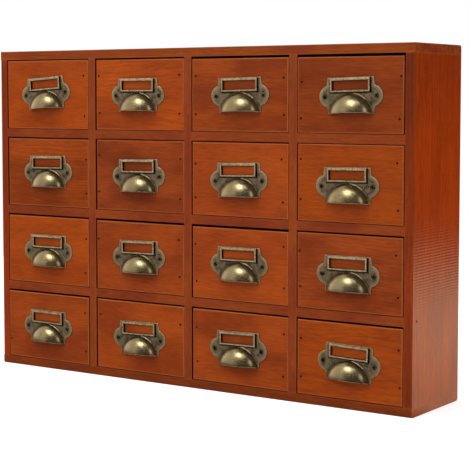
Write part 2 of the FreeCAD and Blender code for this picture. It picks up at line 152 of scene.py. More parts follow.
class WoodSettings(bpy.types.PropertyGroup):
    amber: colour("Amber stain", "The most orange of the drawer fronts' stains", "9E4208")
    amber_deep: colour("Amber stain, deep", "Where the amber stain took more", "8C380A")
    russet: colour("Russet stain", "The brownest of the drawer fronts' stains", "8C3C14")
    russet_deep: colour("Russet stain, deep", "Where the russet stain took more", "7A3012")
    case_light: colour("Case stain", "Front edges of the case's boards", "904016")
    case_deep: colour("Case stain, deep", "Where the case's stain took more", "803216")
    top_light: colour("Top board stain", "The top board, paler at its ends than in front", "B7551A")
    top_deep: colour("Top board stain, deep", "Where the top board's stain took more", "A3431A")
    side_light: colour("Side stain", "Rich stain on the broad faces of the sides", "B94103")
    side_deep: colour("Side stain, deep", "Where the sides' stain took more", "A63803")
    latewood: colour("Latewood", "Dark line of each growth ring under the stain", "58200A")
    # Worn arrises, lightened also as a painted highlight along them.
    worn_and_highlit: colour("Worn arris", "Stain rubbed thin along the arrises", "C2703A")
    # Painted shade in the gaps round the drawers.
    gap_shade: colour("Gap shade", "Stain and dust that gather in the gaps round the drawers", "140602")
    box_wood: colour("Drawer box", "Bare softwood of the drawer boxes", "C9A06C")
    box_deep: colour("Drawer box, deep", "Darker patches of the bare softwood", "BB8D58")
    panel_light: colour("Back panel", "Thin stained plywood", "7E4020")
    panel_deep: colour("Back panel, deep", "Darker patches of the plywood", "6E3418")
    ring_spacing: length("Ring spacing", "From one growth ring to the next", 3.4)
    fibre_width: length("Fibre width", "Finest streak along the grain, coarse enough to show", 1.0)
    roughness: share("Roughness", "Satin lacquer over the stain", 0.20)
    bare_roughness: share("Bare roughness", "Wood without lacquer", 0.65)
    # How light the arrises are, from wear and from a painted highlight.
    front_wear: share("Front wear", "How light the arrises of the drawer fronts are", 0.75)
    case_wear_and_highlight: share("Case wear", "How light the arrises of the case's boards are", 0.12)


class BrassSettings(bpy.types.PropertyGroup):
    patina: colour("Patina", "Darkened brass of the plate", "B8A27E")
    patina_dark: colour("Patina, dark", "Dark specks in the patina", "443D30")
    patina_warm: colour("Patina, warm", "Pinkish specks in the patina", "AC8064")
    rim: colour("Rim", "Where the patina is rubbed thin round the ears", "DABF8E")
    # Rubbed brass, also a painted highlight on the frame's bars and the bead's upper right.
    rubbed: colour("Rubbed brass", "Bars and edges that wear bright", "F0D4A2")
    rubbed_dark: colour("Rubbed brass, dark", "What is left of the patina there", "8A7350")
    polished: colour("Polished brass", "The cup, rubbed by fingers", "CFB683")
    polished_dark: colour("Polished brass, dark", "Olive tarnish on the cup", "8C7543")
    polished_warm: colour("Polished brass, warm", "Paler places on the cup", "CDB894")
    # Patina in the slots and grooves, and painted shade on the walls of the plate, the frame and its window,
    # and round the cup's root and the frame.
    hollow: colour("Hollow", "Nearly black patina in grooves, slots and walls", "120F0A")


class PullSettings(bpy.types.PropertyGroup):
    sheet: length("Sheet", "Thickness of the stamped plate", 1.0)
    height: length("Height", "Top edge to feet", 33.8)
    top_width: length("Top width", "Width of the plate's top edge", 48.8)
    shoulder_width: length("Shoulder width", "Width of the plate at its shoulders", 50.4)
    shoulder_drop: length("Shoulder drop", "Shoulders below the top edge", 7.5)
    foot_width: length("Foot width", "Width of the plate across its feet", 48.2)
    ear_radius: length("Ear radius", "Radius of a screw ear", 9.8)
    ear_spacing: length("Ear spacing", "Between the ears' centres", 47.0)
    ear_drop: length("Ear drop", "Ears' centres below the top edge", 17.3)
    ear_blend: length("Ear blend", "Radius of the corner between an ear and the plate", 2.0)
    edge: length("Rounded edge", "Width of the plate's rounded rim", 0.4)
    frame_width: length("Frame width", "Label frame, outside", 42.0)
    frame_tall: length("Frame height", "Label frame, outside", 13.3)
    frame_stand: length("Frame stand", "Frame out of the plate", 1.6)
    frame_drop: length("Frame drop", "Frame below the plate's top edge", 0.3)
    frame_upright: length("Frame upright", "Width of an upright bar", 2.1)
    frame_head: length("Frame head", "Width of the upper bar", 2.6)
    frame_sill: length("Frame sill", "Width of the lower bar", 1.8)
    frame_edge: length("Frame edge", "Width of the frame's rounded edges", 0.45)
    card_slot: length("Card slot", "Room behind the bars for a label card", 0.8)
    card_lip: length("Card lip", "How far the slot reaches behind the bars", 0.9)
    cup_width: length("Cup width", "Cup at its mouth", 45.0)
    cup_rise: length("Cup rise", "Mouth to crown", 18.7)
    cup_depth: length("Cup depth", "How far the cup's dome would stand out at its middle", 11.35)
    cup_wall: length("Cup wall", "Thickness of the cup's wall", 1.0)
    mouth_slant: degrees("Mouth slant", "Rise of the mouth towards its lip", 6.5)
    lip_edge: length("Lip edge", "Width of the rounding on the cup's lip", 0.45)
    bead: length("Bead", "Radius of the raised bead round the cup's root", 0.55)
    cup_sides: IntProperty(name="Cup sides", description="Facets round the cup", default=64, min=16)


class FixingSettings(bpy.types.PropertyGroup):
    screw_radius: length("Screw head", "Radius of a pull's screw head", 2.5)
    screw_stand: length("Screw stand", "Screw head out of the plate", 0.9)
    screw_spacing: length("Screw spacing", "Between the two screws of a pull", 54.6)
    screw_drop: length("Screw drop", "Screws below the plate's top edge", 17.5)
    cross_reach: length("Cross reach", "Half the length of the recess's arms", 1.7)
    cross_width: length("Cross width", "Width of the recess's arms", 0.95)
    brad_radius: length("Brad", "Radius of a brad's head", 1.15)
    brad_stand: length("Brad stand", "Brad head out of the wood", 0.15)
    brad_black: colour("Brad", "Blued steel under stain", "1E0804")
    brad_brown: colour("Brad, stained", "Red-brown stain on the brads", "4A1408")


# ---------------- modelling


def only(piece):
    """Leaves piece the one selected and active object."""
    bpy.ops.object.select_all(action="DESELECT")
    piece.select_set(True)
    bpy.context.view_layer.objects.active = piece


def settle(name):
    """Names the object just added, and puts its place, turn and scale in its mesh."""
    piece = bpy.context.object
    piece.name = name
    bpy.ops.object.transform_apply(location=True, rotation=True, scale=True)
    return piece


def block(name, low, high):
    """A box between two corners."""
    low, high = Vector(low), Vector(high)
    bpy.ops.mesh.primitive_cube_add(size=1, location=(low + high) / 2, scale=high - low)
    return settle(name)


def disc(name, centre, radius, depth, sides=64):
    """A round slab that faces along Y."""
    bpy.ops.mesh.primitive_cylinder_add(
        vertices=sides, radius=radius, depth=depth, location=centre, rotation=(math.pi / 2, 0, 0),
    )
    return settle(name)


def ball(name, centre, radius, depth, sides):
    """A ball flattened along Y, with its poles on Y."""
    bpy.ops.mesh.primitive_uv_sphere_add(
        segments=sides, ring_count=sides // 2, radius=1, location=centre,
        rotation=(math.pi / 2, 0, 0), scale=(radius, radius, depth),
    )
    return settle(name)


def edit(piece, kind, test):
    """Opens piece for editing, with just the faces or edges selected that pass the test."""
    only(piece)
    bpy.ops.object.mode_set(mode="EDIT")
    bpy.ops.mesh.select_mode(type=kind)
    bpy.ops.mesh.select_all(action="DESELECT")
    mesh = bmesh.from_edit_mesh(piece.data)
    for item in mesh.faces if kind == "FACE" else mesh.edges:
        item.select_set(bool(test(item)))
    mesh.select_flush_mode()
    bmesh.update_edit_mesh(piece.data)


def close():
    """Ends the editing."""
    bpy.ops.object.mode_set(mode="OBJECT")


def every(face):
    """The test that each face passes."""
    return True


def keep_side(piece, point, normal, fill=False):
    """Cuts piece with a plane and keeps the side that the normal points away from."""
    edit(piece, "FACE", every)
    bpy.ops.mesh.bisect(plane_co=point, plane_no=normal, clear_outer=True, use_fill=fill)
    close()


def bevel(piece, test, width, index):
    """Rounds the edges that pass the test, and gives the new faces one of the piece's finishes."""
    edit(piece, "EDGE", test)
    bpy.ops.mesh.bevel(offset=width, segments=3, affect="EDGES", material=index)
    close()


def paint(piece, index, test):
    """Gives the faces that pass the test one of the piece's finishes."""
    for face in filter(test, piece.data.polygons):
        face.material_index = index


def dress(piece, finishes, index=0):
    """Gives piece the finishes, and every face one of them."""
    for finish in finishes:
        piece.data.materials.append(finish)
    paint(piece, index, every)
    return piece


def combine(piece, tool, how):
    """Adds tool to piece or cuts it away, and removes tool."""
    only(piece)
    modifier = piece.modifiers.new(how, "BOOLEAN")
    modifier.operation = how
    modifier.solver = "EXACT"
    modifier.object = tool
    bpy.ops.object.modifier_apply(modifier=modifier.name)
    bpy.data.objects.remove(tool)


def smooth(piece, angle=30):
    """Merges doubled points, faces the surface outwards and shades it smooth up to an angle."""
    edit(piece, "FACE", every)
    bpy.ops.mesh.remove_doubles(threshold=0.003 * MM)
    bpy.ops.mesh.normals_make_consistent(inside=False)
    close()
    only(piece)
    bpy.ops.object.shade_smooth_by_angle(angle=math.radians(angle))


def copy_of(pattern, name, place, turn=0.0, axis="Y"):
    """The pattern again, with a mesh of its own, turned about an axis and then moved.

    The copy's points remember where they were on the pattern, for finishes that follow its shape.
    """
    mesh = pattern.data.copy()
    mesh.name = name
    memory = mesh.attributes.new("pull_place", "FLOAT_VECTOR", "POINT")
    for vertex, value in zip(mesh.vertices, memory.data):
        value.vector = vertex.co
    mesh.transform(Matrix.Translation(place) @ Matrix.Rotation(turn, 4, axis))
    piece = bpy.data.objects.new(name, mesh)
    bpy.context.scene.collection.objects.link(piece)
    return piece


def joined(pieces):
    """One object of several pieces."""
    only(pieces[0])
    for piece in pieces[1:]:
        piece.select_set(True)
    bpy.ops.object.join()
    return pieces[0]


# ---------------- materials


def nodes_of(owner):
    """Empties the nodes of a material or world, and gives the function that adds one to them."""
    owner.use_nodes = True
    tree = owner.node_tree
    tree.nodes.clear()

    def in_use(sockets):
        return [socket for socket in sockets if socket.enabled]

    def add(kind, *inputs, **settings):
        """Adds one shader node, of a kind that may be followed by its operation or data type. Its
        inputs come in the order of the sockets in use, or by name in one dictionary, and each is
        a value, a socket to link, or a node whose first output in use is linked."""
        kind, *choice = kind.split()
        node = tree.nodes.new(f"ShaderNode{kind}")
        if choice:
            setattr(node, "data_type" if kind == "Mix" else "operation", choice[0])
        for name, value in settings.items():
            setattr(node, name, value)
        if inputs and isinstance(inputs[0], dict):
            pairs = [(node.inputs[key], value) for key, value in inputs[0].items()]
        else:
            pairs = zip(in_use(node.inputs), inputs)
        for socket, value in pairs:
            if isinstance(value, bpy.types.Node):
                value = in_use(value.outputs)[0]
            if isinstance(value, bpy.types.NodeSocket):
                tree.links.new(value, socket)
            else:
                socket.default_value = value
        return node

    return add


def new_material(name):
    """An empty material, and the function that adds nodes to it."""
    material = bpy.data.materials.new(name)
    return material, nodes_of(material)


WHITE, BLACK = (1, 1, 1, 1), (0, 0, 0, 1)
# For a map range node that eases in and out.
SMOOTH = {"interpolation_type": "SMOOTHSTEP"}
# A face points along an axis if its normal's share of it is over this.
FACING = 0.7

# Radians that the grain leans in a board, and how far apart in the log, in millimetres, the boards
# of a row were cut.
GRAIN_LEAN = 0.02
NEXT_BOARD = (311, 9, 37)
# How far the pith line wanders, in millimetres, and by how many years the rings are uneven.
PITH_WANDER = (0, 30, 30)
UNEVEN_YEARS = 1.4
# How strongly the growth rings and the broad streaks show, the shades of the finest streaks, and
# how much the roughness differs from one of them to the next.
RING_STRENGTH = 0.18
STREAK_STRENGTH = 0.1
FINE_SHADES = (0.84, 1.16)
UNEVEN_SHEEN = 0.06
# The heights in metres between which a side gets darker towards its top, and its shades there.
DARKER_UPWARDS = (0.14, 0.31, 1.04, 0.8)
# How far in from an arris the wear and painted highlight fade, and the depths between which the
# painted shade in the gaps does.
ARRIS = (0.4 * MM, 1.4 * MM)
GAP_SHADE_DEPTHS = (FACE + 1 * MM, FACE + 9 * MM)
# Patches in which end grain drinks stain, and the part of a pocket, from its sides, where a drawer
# box's sides run.
PORE_PATCH = 4 * MM
BOX_SIDE = 10 * MM
# How high fibres stand, and how high and far apart the waves are that the planer's knives left.
FIBRE_HEIGHT = 0.03 * MM
PLANER_HEIGHT = 0.035 * MM
PLANER_STEP = 2.7 * MM


def stained_wood(
    name, wood, along, cut, stain, figure, boards=None, box=None, edge=None, gaps=0.0, wear=0.0,
    soak=0.5, turned=False, lacquered=True,
):
    """Softwood, planed, stained and sprayed with satin lacquer: a warm translucent colour in which
    growth rings and fibres show as soft lines, with lighter arrises where the stain is rubbed and
    where a painted highlight lightens them, and painted shade where a board faces a gap.

    The rings are cylinders round a pith that runs along the grain, so long faces show lines and
    arches, and ends show arcs. along is the grain's axis, cut where the board lay in the log, in
    millimetres from the pith, stain its two colours, and figure how strong the rings show. boards
    is the pitch in metres of a node's row of boards, box the corners of a single board, edge how
    much of each colour its front edge keeps, gaps how dark the painted shade is where it faces a
    gap, wear how light its arrises are, as wear and a painted highlight, and soak how dark its end
    grain is. turned turns the grain of the boards next to a pocket's sides from front to back, and
    lacquered is False for matt bare wood.
    """
    material, add = new_material(name)
    turn = (GRAIN_LEAN, {"X": 0.0, "Z": math.pi / 2}[along], GRAIN_LEAN)
    place = add("TexCoord").outputs["Object"]
    in_board = place
    normal = add("NewGeometry").outputs["Normal"]
    if turned:
        left, pitch = POCKET_LEFTS[0], POCKET_LEFTS[1] - POCKET_LEFTS[0]
        half = (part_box("divider_left")[0].x - left) / 2
        across = add("SeparateXYZ", place)
        for operation, amount in (("SUBTRACT", left), ("FLOORED_MODULO", pitch), ("SUBTRACT", half)):
            across = add(f"Math {operation}", across, amount)
        across = add("Math ABSOLUTE", across)
        beside = add("Math GREATER_THAN", across, half - BOX_SIDE)
        swaps = []
        for vector in (place, normal):
            x, y, z = add("SeparateXYZ", vector).outputs
            swapped = add("CombineXYZ", y, x, z)
            swaps.append(add("Mix VECTOR", beside, vector, swapped))
        in_board, normal = swaps
    log = add("Mapping", {
        "Vector": in_board, "Location": cut, "Rotation": turn, "Scale": (1 / MM, 1 / MM, 1 / MM),
    })
    if boards:
        # Each board of the row is cut from another place.
        count = add("Math FLOOR", add("Math DIVIDE", add("SeparateXYZ", place), boards))
        row = add("CombineXYZ", count, count, count)
        log = add("VectorMath MULTIPLY_ADD", row, NEXT_BOARD, log)

    def depths_in(low, high):
        """How far inside a box's sides a place lies, along each axis."""
        from_middle = add("VectorMath SUBTRACT", place, (low + high) / 2)
        from_middle = add("VectorMath ABSOLUTE", from_middle)
        inside = add("VectorMath SUBTRACT", (high - low) / 2, from_middle)
        return add("SeparateXYZ", inside).outputs

    def drawn_out(long, wide, detail=2.0):
        """Soft streaks along the grain, their usual length and width in millimetres."""
        points = add("VectorMath MULTIPLY", log, (1 / long, 1 / wide, 1 / wide))
        return add("TexNoise", {"Vector": points, "Scale": 1.0, "Detail": detail})

    # Growth rings: the distance from a pith line that wanders.
    wander = add("VectorMath SUBTRACT", drawn_out(170, 60).outputs["Color"], (0.5, 0.5, 0.5))
    bent = add("VectorMath MULTIPLY_ADD", wander, PITH_WANDER, log)
    section = add("VectorMath MULTIPLY", bent, (0, 1, 1))
    radius = add("VectorMath LENGTH", section)
    uneven = add("Math MULTIPLY", drawn_out(90, 9, 1), UNEVEN_YEARS)
    years = add("Math MULTIPLY_ADD", radius, MM / wood.ring_spacing, uneven)
    season = add("Math FRACT", years)
    ring = add("ValToRGB", season)
    ring.color_ramp.interpolation = "EASE"
    # Earlywood, latewood, and the sharp end of the year.
    early, late = ring.color_ramp.elements
    early.position, late.position = 0.3, 0.85
    ring.color_ramp.elements.new(1.0).color = (0.1, 0.1, 0.1, 1)

    # The stain goes on in two tones, and takes unevenly in patches a few centimetres wide.
    light, deep = stain
    cloud = add("MapRange", drawn_out(70, 30), 0.3, 0.7, **SMOOTH)
    ground = add("Mix RGBA", cloud, light, deep)
    lines = add("Math MULTIPLY", ring, RING_STRENGTH * figure)
    lined = add("Mix RGBA", lines, ground, wood.latewood[:])
    contrast = STREAK_STRENGTH * figure
    streak = add("MapRange", drawn_out(130, 5, 3), 0.3, 0.7, 1 - contrast, 1 + contrast)
    fibre = drawn_out(11, wood.fibre_width / MM)
    fine = add("MapRange", fibre, 0.3, 0.7, *FINE_SHADES)
    shade = add("Math MULTIPLY", streak, fine)
    toned = add("VectorMath SCALE", lined, shade)

    # End grain drinks more stain.
    normal = add("SeparateXYZ", normal)
    facing = add("Math ABSOLUTE", normal.outputs[along])
    end_on = add("Math GREATER_THAN", facing, FACING)
    pores = add("TexNoise", {"Vector": place, "Scale": 1 / PORE_PATCH, "Detail": 3.0})
    soaked = add("MapRange", pores, 0.42, 0.58, 0, soak, **SMOOTH)
    soaked = add("Math MULTIPLY", end_on, soaked)
    tone = add("Mix RGBA", soaked, toned, wood.latewood[:])
    if edge:
        # The side is darker towards its top, and its front edge has that of the case's front.
        height = add("MapRange", add("SeparateXYZ", place).outputs["Z"], *DARKER_UPWARDS)
        tone = add("VectorMath SCALE", tone, height)
        frontal = add("Math LESS_THAN", normal.outputs["Y"], -FACING)
        dull = add("VectorMath MULTIPLY", tone, edge)
        tone = add("Mix RGBA", frontal, tone, dull)

    if box:
        # How far in from the nearest arris: the second smallest of the distances to the box's sides.
        x, y, z = depths_in(*box)
        less = add("Math MINIMUM", x, y)
        more = add("Math MAXIMUM", x, y)
        more = add("Math MINIMUM", more, z)
        second = add("Math MAXIMUM", less, more)
        # Lighter arrises: worn stain, and a painted highlight.
        rubbed = add("MapRange", second, *ARRIS, 1, 0)
        patchy = add("Math MULTIPLY_ADD", cloud, 0.6, 0.4)
        patchy = add("Math MULTIPLY", patchy, rubbed)
        worn_and_highlit = add("Math MULTIPLY", patchy, wear)
        tone = add("Mix RGBA", worn_and_highlit, tone, wood.worn_and_highlit[:])

    rough = wood.roughness if lacquered else wood.bare_roughness
    sheen = add("MapRange", fibre, 0, 1, rough - UNEVEN_SHEEN, rough + UNEVEN_SHEEN)
    if gaps:
        # Painted shade in the gaps round the drawers: what faces a gap near the front is painted dark,
        # and made dull.
        x, _, z = depths_in(*CAD_BOX)
        inside = add("Math MINIMUM", x, z)
        inside = add("Math GREATER_THAN", inside, 0.5 * MM)
        depth = add("SeparateXYZ", place).outputs["Y"]
        shallow = add("MapRange", depth, *GAP_SHADE_DEPTHS, gaps, 0)
        frontal = add("Math ABSOLUTE", normal.outputs["Y"])
        beside = add("Math LESS_THAN", frontal, FACING)
        gap_shade = add("Math MULTIPLY", shallow, inside)
        gap_shade = add("Math MULTIPLY", gap_shade, beside)
        tone = add("Mix RGBA", gap_shade, tone, wood.gap_shade[:])
        sheen = add("Math MAXIMUM", sheen, gap_shade)

    raised = add("Math MULTIPLY_ADD", ring, -0.5, fibre)
    relief = add("Bump", {"Height": raised, "Distance": FIBRE_HEIGHT, "Strength": 0.15})
    if edge:
        # Faint ripples that the planer's knives left across the grain.
        ripple = add("TexWave", {
            "Vector": place, "Scale": math.pi / (10 * PLANER_STEP), "Distortion": 1.5, "Detail": 1.0,
            "Detail Scale": 0.3,
        }, bands_direction="Z")
        relief = add("Bump", {
            "Height": ripple.outputs["Fac"], "Distance": PLANER_HEIGHT, "Strength": 1.0,
            "Normal": relief,
        })
    shader = add("BsdfPrincipled", {"Base Color": tone, "Roughness": sheen, "Normal": relief, "IOR": 1.5})
    add("OutputMaterial", shader)
    return material


# Size in millimetres and detail of the brass's grain, pinkish specks and cloudy patches, the share
# of the patches in its mottling, and how high the grain stands.
MOTTLES = ((1.0, 2.0), (2.2, 2.0), (5.0, 3.0))
PATCHES = 0.55
GRAIN_HEIGHT = 0.05 * MM
# Where the patina of a pull's plate changes, and painted shade darkens it round the cup's root
# and the frame, as distances out from the cup's root (inside it and outside), from the frame's
# outline, from an ear's edge, and sideways from an ear's middle.
ROOT_INSIDE = (-1.5 * MM, -0.2 * MM)
ROOT_OUTSIDE = (0.8 * MM, 3.2 * MM)
FRAME_OUTSIDE = (0.5 * MM, 2 * MM)
EAR_RIM = (-5 * MM, -0.5 * MM)
EAR_SIDE = (-2 * MM, 4 * MM)
# A stroke of the polishing.
STROKE_LONG = 8 * MM
STROKE_WIDE = 1 * MM


def antique_brass(
    name, metal, tones, rough, bright_share, metallic=1.0, pull=None, rubbed=None, relief=0.3,
):
    """Stamped brass, darkened in a bath and relieved by hand: a mottled patina with bright metal
    where it is rubbed, so flat places look dull and mottled, and edges and the cup gleam.

    tones are its bright, dark and warm colours, by their names in the settings, and bright_share
    is how much bright metal shows. pull gives the cup's middle and radius, the ears' middles and
    radius and the frame's middle and half size, so that the patina is deepest round the cup's root
    and the frame, where painted shade darkens it further, and thin on the rims. rubbed is the way
    the polishing went, in degrees from level, and how much its strokes show, and relief how rough
    it feels.
    """
    material, add = new_material(f"antique brass, {name}")
    bright, dark, warm = (getattr(metal, tone)[:] for tone in tones)
    place = add("TexCoord").outputs["Object"]
    grain, specks, patches = (
        add("TexNoise", {"Vector": place, "Scale": 1 / (size * MM), "Detail": detail})
        for size, detail in MOTTLES
    )
    cloud = add("Math MULTIPLY", patches, PATCHES)
    mixed = add("Math MULTIPLY_ADD", grain, 1 - PATCHES, cloud)
    middle = 0.64 - 0.28 * bright_share
    show = add("MapRange", mixed, middle - 0.12, middle + 0.12, **SMOOTH)
    pinkish = add("MapRange", specks, 0.5, 0.68, 0, 0.7, **SMOOTH)
    tone = add("Mix RGBA", pinkish, bright, warm)
    tone = add("Mix RGBA", show, dark, tone)
    if pull:
        where = add("Attribute", attribute_name="pull_place").outputs["Vector"]
        flat = add("VectorMath MULTIPLY", where, (1, 0, 1))
        root = add("VectorMath DISTANCE", flat, pull["cup"])
        off = add("Math SUBTRACT", root, pull["cup_radius"])
        within = add("MapRange", off, *ROOT_INSIDE, 0, 0.4, **SMOOTH)
        beyond = add("MapRange", off, *ROOT_OUTSIDE, 0.9, 0, **SMOOTH)
        groove = add("Math MINIMUM", within, beyond)
        framed = add("VectorMath SUBTRACT", flat, pull["frame"])
        framed = add("VectorMath ABSOLUTE", framed)
        framed = add("VectorMath SUBTRACT", framed, pull["frame_half"])
        x, _, z = add("SeparateXYZ", framed).outputs
        framed = add("Math MAXIMUM", x, z)
        framed = add("MapRange", framed, *FRAME_OUTSIDE, 0.9, 0, **SMOOTH)
        groove = add("Math MAXIMUM", groove, framed)
        # Patina and painted shade darken the cup's root, the frame's edges and the plate round them.
        tone = add("Mix RGBA", groove, tone, pull["deep"])
        folded = add("VectorMath ABSOLUTE", flat)
        ear = add("VectorMath DISTANCE", folded, pull["ear"])
        rims = (pull["ear_radius"] + step for step in EAR_RIM)
        rim = add("MapRange", ear, *rims, **SMOOTH)
        sides = (pull["ear"][0] + step for step in EAR_SIDE)
        outer = add("MapRange", add("SeparateXYZ", folded), *sides, 0, 0.8)
        rim = add("Math MULTIPLY", rim, outer)
        tone = add("Mix RGBA", rim, tone, pull["rim"])
    if rubbed:
        angle, strength = rubbed
        strokes = add("Mapping", {
            "Vector": place, "Rotation": (0, math.radians(angle), 0),
            "Scale": (1 / STROKE_LONG, 1 / STROKE_WIDE, 1 / STROKE_WIDE),
        })
        strokes = add("TexNoise", {"Vector": strokes, "Scale": 1.0, "Detail": 2.0})
        strokes = add("MapRange", strokes, 0.35, 0.65, 1 - strength, 1.0)
        tone = add("VectorMath SCALE", tone, strokes)
    uneven = 0.2 * relief
    haze = add("MapRange", grain, 0, 1, rough - uneven, rough + uneven)
    bumps = add("Bump", {"Height": grain, "Distance": GRAIN_HEIGHT, "Strength": relief})
    shader = add("BsdfPrincipled", {
        "Base Color": tone, "Metallic": metallic, "Roughness": haze, "Normal": bumps,
    })
    add("OutputMaterial", shader)
    return material


# ---------------- steps


class SPICE_OT_stage(bpy.types.Operator):
    """Sets a white floor, soft lamps, a pale surround and the camera"""

    bl_idname = "spice.stage"
    bl_label = "Stage"

    # name, direction from the cabinet, distance, width, height and power
    LAMPS = (
        ("key_lamp", (-0.20, -0.60, 0.76), 3.0, 0.9, 3.6, 55.0),
        ("right_lamp", (0.93, -0.30, 0.36), 3.0, 1.6, 1.6, 10.5),
    )
    # How bright the room is in reflections, from far left (0) to far right (1), and how that grows
    # over table height: between which upward shares of a direction, and from what to what.
    ROOM = ((0.0, 1.1), (0.03, 0.75), (0.12, 0.4), (0.17, 0.5), (0.255, 0.48), (0.285, 0.07), (0.7, 0.05))
    OVER_TABLE = (0.04, 0.12, 0.06, 1)
    # The lamps' screens in reflections: direction, degrees from the middle to the end of the full
    # light and to the end of all light, and brightness.
    SCREENS = (
        ((-0.30, -0.68, 0.67), 4, 12, 6.0),
        ((0.01, -0.62, 0.78), 3, 9, 1.4),
        ((0.57, -0.67, 0.47), 3, 13, 1.1),
    )

    # Light from all round.
    AMBIENT = (0.62, 0.62, 0.62, 1)
    # How bright the table top is in reflections, and the share of that which is missing in front of
    # the cabinet and near it: between which places, in metres, it changes, and from what to what.
    FLOOR_LEVEL = 1.05
    FLOOR_FRONT = (-0.05, 0.02, 0.98, 0)
    FLOOR_NEAR = (0.3, 0.55, 0.28, 0)

    def execute(self, context):
        scene = context.scene
        self.add_floor(scene.spice_stage)
        self.add_lamps(scene)
        self.set_world(scene)
        self.add_camera(scene, scene.spice_stage)
        scene.view_settings.view_transform = "Standard"
        return {"FINISHED"}

    def add_floor(self, stage):
        """A matt white table top. To the camera it is white but for shadows, and in reflections
        its front part, in the shade of the room, and the part next to the cabinet are dim."""
        bpy.ops.mesh.primitive_circle_add(vertices=96, radius=stage.floor_size / 2, fill_type="NGON")
        floor = settle("floor")
        material, add = new_material("matt white table top")
        path = add("LightPath")
        matt = add("BsdfDiffuse", stage.floor_colour[:])
        glow = add("Emission", WHITE, stage.floor_lift)
        lifted = add("AddShader", matt, glow)
        sheen = add("Emission", stage.floor_mirrored[:], self.FLOOR_LEVEL)
        place = add("TexCoord").outputs["Object"]
        back = add("SeparateXYZ", place).outputs["Y"]
        front = add("MapRange", back, *self.FLOOR_FRONT)
        away = add("VectorMath LENGTH", place)
        near = add("MapRange", away, *self.FLOOR_NEAR)
        missing = add("Math MAXIMUM", front, near)
        dark = add("BsdfDiffuse", BLACK)
        shaded = add("MixShader", missing, sheen, dark)
        mirrored = add("MixShader", path.outputs["Is Glossy Ray"], matt, shaded)
        seen = add("MixShader", path.outputs["Is Camera Ray"], mirrored, lifted)
        add("OutputMaterial", seen)
        floor.data.materials.append(material)
        floor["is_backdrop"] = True

    def add_lamps(self, scene):
        middle = Vector((0, 0, CAD_BOX[1].z / 2))
        for name, direction, distance, width, height, power in self.LAMPS:
            lamp = bpy.data.lights.new(name, "AREA")
            lamp.shape = "RECTANGLE"
            lamp.size = width
            lamp.size_y = height
            lamp.energy = power
            holder = bpy.data.objects.new(name, lamp)
            holder.location = middle + Vector(direction).normalized() * distance
            holder.rotation_euler = (middle - holder.location).to_track_quat("-Z", "Y").to_euler()
            holder.visible_glossy = False
            scene.collection.objects.link(holder)

    def set_world(self, scene):
        """White behind the cabinet, and even light on it. Reflections show a room that is bright on
        the left over table height and dim elsewhere, and the lamps' soft screens."""
        world = bpy.data.worlds.new("studio")
        scene.world = world
        add = nodes_of(world)
        path = add("LightPath")
        towards = add("TexCoord").outputs["Generated"]
        axes = add("SeparateXYZ", towards).outputs
        side = add("MapRange", axes["X"], -1.0)
        room = add("ValToRGB", side)
        stops = room.color_ramp.elements
        while len(stops) < len(self.ROOM):
            stops.new(0.5)
        for stop, (position, level) in zip(stops, self.ROOM):
            stop.position = position
            stop.color = (level, level, level, 1)
        over_table = add("MapRange", axes["Z"], *self.OVER_TABLE)
        mirrored = add("VectorMath SCALE", room, over_table)
        for direction, inner, outer, level in self.SCREENS:
            middle = Vector(direction).normalized()
            nearness = add("VectorMath DOT_PRODUCT", towards, middle)
            limits = (math.cos(math.radians(angle)) for angle in (outer, inner))
            screen = add("MapRange", nearness, *limits, 0, level, **SMOOTH)
            mirrored = add("VectorMath ADD", mirrored, screen)
        glossy, seen = path.outputs["Is Glossy Ray"], path.outputs["Is Camera Ray"]
        lit = add("Mix RGBA", glossy, self.AMBIENT, mirrored)
        back = add("Mix RGBA", seen, lit, WHITE)
        add("OutputWorld", add("Background", back))

    def add_camera(self, scene, stage):
        turn, level = stage.azimuth, math.cos(stage.elevation)
        away = Vector((math.sin(turn) * level, -math.cos(turn) * level, math.sin(stage.elevation)))
        camera = bpy.data.cameras.new("camera")
        camera.sensor_width = 36
        camera.lens = stage.focal_length
        camera.shift_x = stage.shift_x
        camera.shift_y = stage.shift_y
        camera.clip_start = 0.01
        holder = bpy.data.objects.new("camera", camera)
        holder.location = Vector(stage.target) + away * stage.distance
        holder.rotation_euler = (-away).to_track_quat("-Z", "Y").to_euler()
        scene.collection.objects.link(holder)
        scene.camera = holder


